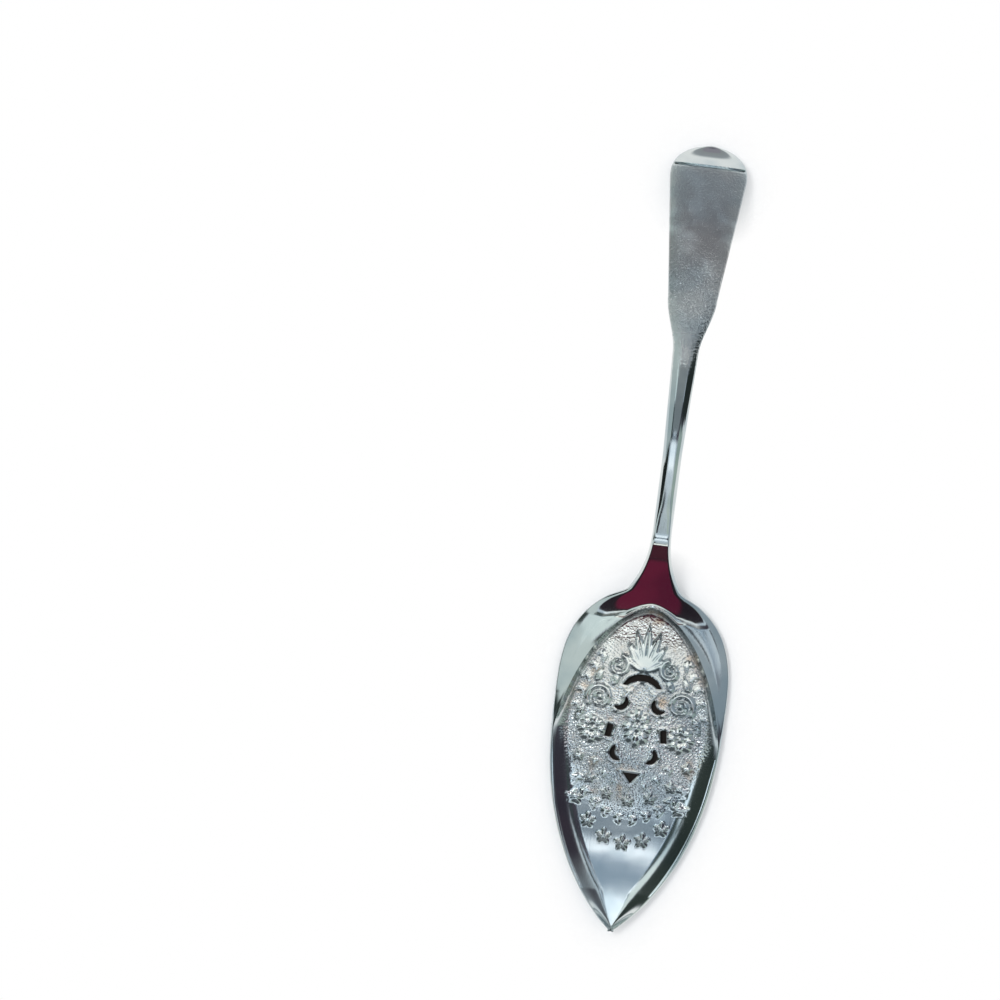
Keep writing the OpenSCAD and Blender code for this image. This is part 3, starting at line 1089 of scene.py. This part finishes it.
@dataclass(frozen=True)
class SilverPlate:
    """Silver plate over nickel silver, polished by hand and left to tarnish in its recesses.

    The polish gives sharp, cool reflections, the tarnish draws the chasing in brown and grey, and the
    fine stipple on the paddle scatters the light to an even grey. The ends of a colour are the noise
    values between which it comes in, and polish_ends are shares of the polish's roughness. Scratches
    and waves have a strength and a depth, and all depths are in millimetres.
    """

    bright: str = "#D5DBDA"
    cool: str = "#B8C4C8"
    warm: str = "#CBBBA6"
    tarnished: str = "#837F80"
    cloud_ends: tuple[float, float] = (0.4, 0.62)
    warm_ends: tuple[float, float] = (0.56, 0.74)
    stain_ends: tuple[float, float] = (0.25, 0.6)
    polish: float = 0.1
    polish_ends: tuple[float, float] = (0.8, 1.35)
    dull: float = 0.18
    stippled: float = 0.3
    scratches: tuple[float, float] = (0.06, 0.1)
    scratch_stretch: float = 0.04
    scratch_turn: float = 0.3
    waves: tuple[float, float] = (0.5, 0.2)
    matting_depth: float = 0.12
    stipple_depth: float = 0.36

    def material(self) -> bpy.types.Material:
        """Build the material, which reads Object coordinates and the four wear attributes.

        Returns:
            The new material.
        """
        made = blank_material("silver_plate_hand_polished")
        tree = made.node_tree
        place = add_node(tree, "ShaderNodeTexCoord").outputs["Object"]
        chased, tarnish, satin, stippled = (
            add_node(tree, "ShaderNodeAttribute", {"attribute_name": name}).outputs["Fac"]
            for name in ("chased", "tarnish", "satin", "stippled"))
        cloud, stain = (
            add_node(tree, "ShaderNodeTexNoise", None,
                     {"Vector": place, "Scale": scale.per_metre, "Detail": detail}).outputs["Fac"]
            for scale, detail in ((Scale.CLOUD, 3.0), (Scale.STAIN, 4.0)))
        clouded = self.ramp(tree, cloud, self.cloud_ends)
        cool = self.blend(tree, clouded, linear(self.bright), linear(self.cool))
        warmed, patchy = (
            add_node(tree, "ShaderNodeMath", {"operation": "MULTIPLY"},
                     {0: self.ramp(tree, stain, ends), 1: where}).outputs[0]
            for ends, where in ((self.warm_ends, chased), (self.stain_ends, tarnish)))
        warm = self.blend(tree, warmed, cool, linear(self.warm))
        colour = self.blend(tree, patchy, warm, linear(self.tarnished))
        roughness = self.roughness(tree, cloud, patchy, satin)
        normal = self.bumps(tree, place, chased, stippled)
        shader = add_node(tree, "ShaderNodeBsdfPrincipled", None,
                          {"Base Color": colour, "Metallic": 1.0, "Roughness": roughness, "Normal": normal})
        add_node(tree, "ShaderNodeOutputMaterial", None, {"Surface": shader.outputs["BSDF"]})
        return made

    @staticmethod
    def ramp(tree: bpy.types.NodeTree, value: bpy.types.NodeSocket,
             ends: tuple[float, float]) -> bpy.types.NodeSocket:
        """Return the value stretched so that the first end becomes 0 and the second becomes 1."""
        return add_node(tree, "ShaderNodeMapRange", {"interpolation_type": "SMOOTHSTEP"},
                        {"Value": value, "From Min": ends[0], "From Max": ends[1]}).outputs["Result"]

    @staticmethod
    def blend(tree: bpy.types.NodeTree, factor: bpy.types.NodeSocket, a: object,
              b: object) -> bpy.types.NodeSocket:
        """Return a colour mixed from a to b by the factor."""
        return add_node(tree, "ShaderNodeMix", {"data_type": "RGBA"}, {0: factor, 6: a, 7: b}).outputs[2]

    def roughness(self, tree: bpy.types.NodeTree, cloud: bpy.types.NodeSocket,
                  patchy: bpy.types.NodeSocket, satin: bpy.types.NodeSocket) -> bpy.types.NodeSocket:
        """Return the roughness: polished, duller where tarnished, and satin on the paddle.

        Args:
            tree: The node tree to add to.
            cloud: The clouds' noise.
            patchy: The share of full tarnish.
            satin: The share of satin.

        Returns:
            The roughness.
        """
        low, high = (self.polish * end for end in self.polish_ends)
        smooth = add_node(tree, "ShaderNodeMapRange", None, {"Value": cloud, "To Min": low, "To Max": high})
        dull = add_node(tree, "ShaderNodeMath", {"operation": "MULTIPLY_ADD"},
                        {0: patchy, 1: self.dull, 2: smooth.outputs["Result"]})
        return add_node(tree, "ShaderNodeMix", {"data_type": "FLOAT"},
                        {0: satin, 2: dull.outputs[0], 3: self.stippled}).outputs[0]

    def bumps(self, tree: bpy.types.NodeTree, place: bpy.types.NodeSocket, chased: bpy.types.NodeSocket,
              stippled: bpy.types.NodeSocket) -> bpy.types.NodeSocket:
        """Return the normal bent by hairline scratches, waves, matting and stipple, one on the other.

        Args:
            tree: The node tree to add to.
            place: Object coordinates.
            chased: The share of matted ground.
            stippled: The share of stipple.

        Returns:
            The normal.
        """
        matting = add_node(tree, "ShaderNodeTexVoronoi", None,
                           {"Vector": place, "Scale": Scale.MATTING.per_metre}).outputs["Distance"]
        stipple = add_node(tree, "ShaderNodeTexNoise", None,
                           {"Vector": place, "Scale": Scale.STIPPLE.per_metre, "Detail": 1.5}).outputs["Fac"]
        stretched = add_node(tree, "ShaderNodeMapping", None,
                             {"Vector": place, "Scale": (1.0, self.scratch_stretch, 1.0),
                              "Rotation": (0, 0, self.scratch_turn)}).outputs[0]
        scratch = add_node(tree, "ShaderNodeTexNoise", None,
                           {"Vector": stretched, "Scale": Scale.SCRATCH.per_metre}).outputs["Fac"]
        wave = add_node(tree, "ShaderNodeTexNoise", None,
                        {"Vector": place, "Scale": Scale.WAVE.per_metre, "Detail": 1.0}).outputs["Fac"]
        layers = ((scratch, *self.scratches), (wave, *self.waves),
                  (matting, chased, self.matting_depth), (stipple, stippled, self.stipple_depth))
        below = {}
        for height, strength, depth in layers:
            bump = add_node(tree, "ShaderNodeBump", None,
                            {"Height": height, "Strength": strength, "Distance": depth * MM, **below})
            below = {"Normal": bump.outputs[0]}
        return below["Normal"]


@dataclass(frozen=True)
class Softbox:
    """A square lamp that looks at the server.

    Attributes:
        place: Its middle, in millimetres.
        size: Its two sides, in millimetres.
        power: Its power in watts.
        colour: Its colour, sRGB hex.
    """

    place: tuple[float, float, float]
    size: tuple[float, float]
    power: float
    colour: str

    def build(self, name: str, target: Vector) -> None:
        """Add the lamp, turned towards the target.

        Args:
            name: The lamp's name.
            target: The point that it looks at, in metres.
        """
        data = bpy.data.lights.new(name, "AREA")
        data.shape = "RECTANGLE"
        data.size, data.size_y = (side * MM for side in self.size)
        data.energy = self.power
        data.color = linear(self.colour)[:3]
        lamp = bpy.data.objects.new(name, data)
        lamp.location = Vector(self.place) * MM
        lamp.rotation_euler = (target - lamp.location).to_track_quat("-Z", "Y").to_euler()
        lamp.visible_glossy = False
        bpy.context.collection.objects.link(lamp)


class Hang(Enum):
    """How a card hangs, as the directions of its two sides; its face looks at the server."""

    OVERHEAD = ((1, 0, 0), (0, -1, 0))
    TIP_END = ((-1, 0, 0), (0, 0, 1))
    LEFT = ((0, 1, 0), (0, 0, 1))
    RIGHT = ((0, -1, 0), (0, 0, 1))


@dataclass(frozen=True)
class Card:
    """A sheet of studio card that only reflections see, and only on its face.

    Attributes:
        hang: Flat overhead, or upright at the tip's end or on the left or right.
        place: Its middle, in millimetres.
        size: Its two sides, in millimetres.
        colour: Its colour, sRGB hex.
        strength: How bright it looks in the metal.
        fade: How far in from its edges it thins out, in millimetres.
    """

    hang: Hang
    place: tuple[float, float, float]
    size: tuple[float, float]
    colour: str
    strength: float = 1.0
    fade: float = 24.0

    def build(self, name: str) -> bpy.types.Object:
        """Add the card.

        Args:
            name: The card's name.

        Returns:
            The card's object.
        """
        first, second = (np.array(way) * side / 2 for way, side in zip(self.hang.value, self.size))
        corners = [np.array(self.place) + a * first + b * second
                   for a, b in ((-1, -1), (1, -1), (1, 1), (-1, 1))]
        mesh = bpy.data.meshes.new(name)
        mesh.from_pydata([tuple(corner * MM) for corner in corners], [], [(0, 1, 2, 3)])
        mesh.uv_layers.new(name="sides").data.foreach_set("uv", (0, 0, 1, 0, 1, 1, 0, 1))
        mesh.materials.append(self.paper(name + "_paper"))
        card = bpy.data.objects.new(name, mesh)
        card.visible_camera = False
        card.visible_diffuse = False
        card.visible_shadow = False
        bpy.context.collection.objects.link(card)
        return card

    def paper(self, name: str) -> bpy.types.Material:
        """Build the card's look: a glow that thins out at the edges and isn't there from behind.

        How much of it shows is the product of the shares across its two sides and of facing forwards.

        Args:
            name: The material's name.

        Returns:
            The new material.
        """
        made = blank_material(name)
        tree = made.node_tree
        glow = add_node(tree, "ShaderNodeEmission", None,
                        {"Color": linear(self.colour), "Strength": self.strength})
        clear = add_node(tree, "ShaderNodeBsdfTransparent")
        sides = add_node(tree, "ShaderNodeTexCoord").outputs["UV"]
        moved = add_node(tree, "ShaderNodeVectorMath", {"operation": "SUBTRACT"},
                         {0: sides, 1: (0.5, 0.5, 0)})
        off_middle = add_node(tree, "ShaderNodeVectorMath", {"operation": "ABSOLUTE"},
                              {0: moved.outputs[0]})
        full = tuple(0.5 - self.fade / side for side in self.size)
        # Sockets 6 to 8 are the vector to stretch and the ends to stretch it from.
        thinned = add_node(tree, "ShaderNodeMapRange",
                           {"data_type": "FLOAT_VECTOR", "interpolation_type": "SMOOTHSTEP"},
                           {6: off_middle.outputs[0], 7: (0.5, 0.5, 1), 8: (*full, 0)})
        parts = add_node(tree, "ShaderNodeSeparateXYZ", None, {0: thinned.outputs["Vector"]})
        body = add_node(tree, "ShaderNodeMath", {"operation": "MULTIPLY"},
                        {0: parts.outputs[0], 1: parts.outputs[1]})
        behind = add_node(tree, "ShaderNodeNewGeometry").outputs["Backfacing"]
        front = add_node(tree, "ShaderNodeMath", {"operation": "SUBTRACT"}, {0: 1.0, 1: behind})
        shown = add_node(tree, "ShaderNodeMath", {"operation": "MULTIPLY"},
                         {0: body.outputs[0], 1: front.outputs[0]})
        sheet = add_node(tree, "ShaderNodeMixShader", None,
                         {0: shown.outputs[0], 1: clear.outputs[0], 2: glow.outputs[0]})
        add_node(tree, "ShaderNodeOutputMaterial", None, {"Surface": sheet.outputs[0]})
        return made


@dataclass
class Studio:
    """A pale floor, soft light and the camera above it.

    The painted shadow is a round dark patch painted on the floor under the piercings, standing in for
    the shade beneath the blade. The shade is how far from the metal the floor is darkened by it, and
    the power with which that fades. The camera looks at look_at from distance, leaned towards the tip
    and to the side, and rolled. It shows frame_width there.
    """

    floor_size: float = 4000.0
    floor_colour: str = "#F4F4F4"
    # Painted shadow: a dark patch of floor colour under the piercings, standing in for the shade beneath the
    # blade.
    painted_shadow_at: tuple[float, float, float] = (0.0, -61.0, 0.0)
    painted_shadow_radius: float = 19.0
    painted_shadow_edge: float = 2.0
    painted_shadow_colour: str = "#2A2624"
    shade_reach: float = 12.0
    shade_power: float = 2.0
    look_at: tuple[float, float, float] = (-52.2, 4.6, 3.0)
    distance: float = 900.0
    lean: float = 3.0
    side_lean: float = 3.0
    roll: float = 7.57
    frame_width: float = 316.7

    def floor(self) -> bpy.types.Object:
        """Add the floor: pale paper that the camera sees as white, still shaded by the server.

        Returns:
            The floor's object.
        """
        half = self.floor_size * MM / 2
        mesh = bpy.data.meshes.new("floor")
        mesh.from_pydata([(-half, -half, 0), (half, -half, 0), (half, half, 0), (-half, half, 0)],
                         [], [(0, 1, 2, 3)])
        mesh.materials.append(self.floor_paper())
        floor = bpy.data.objects.new("floor", mesh)
        bpy.context.collection.objects.link(floor)
        return floor

    def floor_paper(self) -> bpy.types.Material:
        """Build the floor's paper, which glows white to the rays that look at it.

        It is plain matt paper to all other rays, near the metal, and on the painted shadow under the
        piercings.

        Returns:
            The new material.
        """
        made = blank_material("floor_paper")
        tree = made.node_tree
        place = add_node(tree, "ShaderNodeTexCoord").outputs["Object"]
        # Painted shadow: the floor turns dark within this radius of the piercings, standing in for the shade
        # under the blade.
        away = add_node(tree, "ShaderNodeVectorMath", {"operation": "DISTANCE"},
                        {0: place, 1: Vector(self.painted_shadow_at) * MM}).outputs["Value"]
        off_painted_shadow = add_node(tree, "ShaderNodeMapRange", None,
                            {"Value": away, "From Min": self.painted_shadow_radius * MM,
                             "From Max": (self.painted_shadow_radius + self.painted_shadow_edge) * MM}).outputs["Result"]
        colours = {6: linear(self.painted_shadow_colour), 7: linear(self.floor_colour)}
        colour = add_node(tree, "ShaderNodeMix", {"data_type": "RGBA"}, {0: off_painted_shadow, **colours}).outputs[2]
        matt = add_node(tree, "ShaderNodeBsdfDiffuse", None, {"Color": colour})
        glow = add_node(tree, "ShaderNodeEmission", None, {"Color": (1, 1, 1, 1), "Strength": 1.0})
        rays = add_node(tree, "ShaderNodeLightPath")
        looks = add_node(tree, "ShaderNodeMath", {"operation": "MAXIMUM"},
                         {0: rays.outputs["Is Camera Ray"], 1: rays.outputs["Is Glossy Ray"]})
        seen = add_node(tree, "ShaderNodeMath", {"operation": "MAXIMUM"},
                        {0: looks.outputs[0], 1: rays.outputs["Is Transmission Ray"]})
        clear = add_node(tree, "ShaderNodeAmbientOcclusion", {"samples": 8},
                         {"Distance": self.shade_reach * MM})
        open_sky = add_node(tree, "ShaderNodeMath", {"operation": "POWER"},
                            {0: clear.outputs["AO"], 1: self.shade_power})
        bare = add_node(tree, "ShaderNodeMath", {"operation": "MULTIPLY"},
                        {0: open_sky.outputs[0], 1: off_painted_shadow})
        lift = add_node(tree, "ShaderNodeMath", {"operation": "MULTIPLY"},
                        {0: seen.outputs[0], 1: bare.outputs[0]})
        paper_look = add_node(tree, "ShaderNodeMixShader", None,
                              {0: lift.outputs[0], 1: matt.outputs[0], 2: glow.outputs[0]})
        add_node(tree, "ShaderNodeOutputMaterial", None, {"Surface": paper_look.outputs[0]})
        return made

    def world(self) -> None:
        """Set the room's light by the height of the direction.

        It is white at the horizon, grey on the walls and pale on the ceiling.
        """
        world = bpy.data.worlds.new("studio")
        bpy.context.scene.world = world
        world.use_nodes = True
        tree = world.node_tree
        tree.nodes.clear()
        way = add_node(tree, "ShaderNodeTexCoord").outputs["Generated"]
        up = add_node(tree, "ShaderNodeSeparateXYZ", None, {0: way}).outputs["Z"]
        ramp = add_node(tree, "ShaderNodeValToRGB", None, {0: up})
        stops = ((0.0, "#FFFFFF"), (0.14, "#FFFFFF"), (0.3, "#A3A8AD"), (0.6, "#9A9DA0"), (0.77, "#C9CFD3"),
                 (0.94, "#DCE6F0"), (0.985, "#879EB4"), (1.0, "#879EB4"))
        bands = ramp.color_ramp.elements
        for place, colour in stops[1:-1]:
            bands.new(place)
        for band, (place, colour) in zip(bands, stops):
            band.position, band.color = place, linear(colour)
        back = add_node(tree, "ShaderNodeBackground", None, {"Color": ramp.outputs[0], "Strength": 1.0})
        add_node(tree, "ShaderNodeOutputWorld", None, {"Surface": back.outputs[0]})

    @staticmethod
    def near_cards() -> dict[str, Card]:
        """List the cards close to the server, which the neck, shoulders, field and stem mirror.

        Returns:
            The cards by name.
        """
        over, end, left, right = Hang.OVERHEAD, Hang.TIP_END, Hang.LEFT, Hang.RIGHT
        return {
            "neck_card": Card(end, (-1.5, -35, 17.5), (26, 13), "#6A2039", fade=2),
            "neck_shade_card": Card(end, (-1.5, -35, 29.5), (26, 13), "#4A222E", fade=2),
            "neck_flag": Card(end, (-2, -36, 25), (64, 32), "#2B2229", fade=3),
            "left_shoulder_card": Card(left, (-60, -31, 87), (46, 125), "#D6E0DF", fade=6),
            "right_shoulder_card": Card(right, (60, -22, 62), (74, 84), "#A4AFB8", fade=8),
            "fan_card": Card(over, (1, -36, 45), (50, 32), "#F4F3EE", 1.45, fade=9),
            "rose_card": Card(over, (20, -49, 90), (30, 28), "#F0E6EC", 1.3, fade=8),
            "amber_card": Card(over, (-15, -59, 90), (18, 14), "#F0E2C4", 1.2, fade=5),
            "blue_card": Card(over, (-13, -76, 90), (26, 24), "#DDEBF6", 1.6, fade=8),
            "field_flag": Card(over, (19, -77, 90), (20, 26), "#3E4648", fade=6),
            "bow_shade_card": Card(over, (0, 51, 100), (44, 60), "#8E9396", fade=4),
            "stem_left_flag": Card(left, (-30, 8, 50), (26, 70), "#1E2422", fade=3),
            "stem_right_flag": Card(right, (30, 51, 62), (38, 92), "#2B3130", fade=4),
            "stem_left_card": Card(left, (-30, 49, 50), (62, 64), "#C3CDCD", fade=6),
            "stem_right_card": Card(right, (30, 14, 50), (38, 64), "#A9B8B2", fade=6),
        }

    @staticmethod
    def far_cards() -> dict[str, Card]:
        """List the large cards far off, which the floor and walls of the well and the paddle mirror.

        Returns:
            The cards by name.
        """
        over, end, left, right = Hang.OVERHEAD, Hang.TIP_END, Hang.LEFT, Hang.RIGHT
        return {
            "end_flag": Card(end, (0, -600, 590), (1300, 700), "#565C60", fade=60),
            "window_card": Card(over, (-475, 390, 1500), (650, 600), "#E4EFEE", 1.1),
            "left_wall_flag": Card(over, (-560, -80, 1500), (880, 340), "#3C4744"),
            "right_wall_flag": Card(over, (540, -75, 1500), (920, 350), "#443D48"),
            "left_sparkle": Card(over, (-200, 330, 1400), (160, 160), "#FFFFFF", 7.0),
            "right_sparkle": Card(over, (220, 330, 1400), (160, 160), "#FFFFFF", 7.0),
            "far_card": Card(over, (0, 100, 1500), (260, 190), "#EAF1F8", 2.0),
            "patch_card": Card(over, (-6, -118, 1500), (130, 70), "#EEF2F8", 2.5),
            "band_card": Card(over, (0, -185, 1490), (340, 70), "#454F59"),
            "bow_card": Card(over, (0, 140, 1495), (500, 100), "#EAF1F8", 1.6),
            "near_card": Card(over, (0, -325, 1500), (620, 220), "#EAF0F6", 1.6),
            "low_card": Card(over, (270, -640, 1300), (500, 330), "#C3CEC8"),
            "low_flag": Card(over, (-280, -640, 1300), (500, 330), "#1B1E1F"),
            "paddle_flag": Card(over, (0, 870, 1500), (1100, 900), "#716C76"),
            "cap_card": Card(over, (0, 1700, 1500), (1300, 780), "#96929C"),
            "paddle_glint": Card(over, (-60, 760, 1400), (380, 150), "#FFFFFF", 4.4),
            "streak_flag": Card(over, (360, 490, 1500), (60, 600), "#202629"),
            "wide_streak_flag": Card(over, (560, 490, 1450), (110, 600), "#262A2E"),
            "left_window": Card(left, (-900, 1100, 1000), (800, 1400), "#C9D6D3"),
            "left_flag": Card(left, (-900, 260, 950), (1240, 1500), "#323B38", fade=300),
            "right_flag": Card(right, (895, 180, 950), (960, 1500), "#3A333E", fade=300),
            "right_low_card": Card(right, (900, -480, 1000), (840, 1400), "#B5C2BC"),
        }

    def lights(self) -> None:
        """Add the lamp, and the cards that the metal mirrors."""
        Softbox((-560, 200, 1390), (350, 350), 10.5, "#FFFFFF").build("key", Vector((0, 0, 0)))
        cards = {**self.near_cards(), **self.far_cards()}
        for name, card in cards.items():
            card.build(name)
        LOG.info("studio: %d cards", len(cards))

    def camera(self) -> None:
        """Set the camera nearly above the server, leaned towards the tip and rolled as in the photo."""
        roll = math.radians(self.roll)
        image_up = Vector((-math.sin(roll), math.cos(roll), 0))
        target = Vector(self.look_at) * MM
        image_right = Vector((math.cos(roll), math.sin(roll), 0))
        away = Vector((0, 0, 1)) - image_up * math.tan(math.radians(self.lean))
        away = (away + image_right * math.tan(math.radians(self.side_lean))).normalized()
        right = image_up.cross(away).normalized()
        turn = Matrix((right, away.cross(right), away)).transposed().to_4x4()
        data = bpy.data.cameras.new("camera")
        data.sensor_width = 36.0
        data.lens = data.sensor_width * self.distance / self.frame_width
        data.clip_start, data.clip_end = 0.01, 20.0
        camera = bpy.data.objects.new("camera", data)
        camera.matrix_world = Matrix.Translation(target + away * self.distance * MM) @ turn
        bpy.context.collection.objects.link(camera)
        bpy.context.scene.camera = camera

    def build(self) -> None:
        """Build the whole studio."""
        bpy.context.scene.view_settings.view_transform = "Standard"
        self.floor()
        self.world()
        self.lights()
        self.camera()


@dataclass
class DessertServer:
    """The server as it is shown: its mesh, its wear and its finish."""

    body: ServerBody = field(default_factory=ServerBody)
    worn: Wear = field(default_factory=Wear)
    finish: SilverPlate = field(default_factory=SilverPlate)

    def build(self) -> bpy.types.Object:
        """Build the piece, dress it and let it stand for the CAD node.

        Returns:
            The piece.
        """
        mesh, at = self.body.mesh()
        upper = np.arange(len(at["s"])) < len(at["s"]) / 2
        for name, values in self.worn.shares(self.body, at, upper).items():
            attribute = mesh.attributes.new(name, "FLOAT", "POINT")
            attribute.data.foreach_set("value", values.astype(np.float32))
        mesh.materials.append(self.finish.material())
        piece = bpy.data.objects.new("server_plated", mesh)
        bpy.context.collection.objects.link(piece)
        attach(piece, "root")
        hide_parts("server")
        triangles = sum(len(face.vertices) - 2 for face in mesh.polygons)
        LOG.info("%s: %d triangles", piece.name, triangles)
        return piece


def main() -> None:
    """Build the server and the studio."""
    logging.basicConfig(level=logging.INFO, format="%(name)s: %(message)s")
    DessertServer().build()
    Studio().build()
    bpy.context.view_layer.update()


if __name__ == "__main__":
    main()
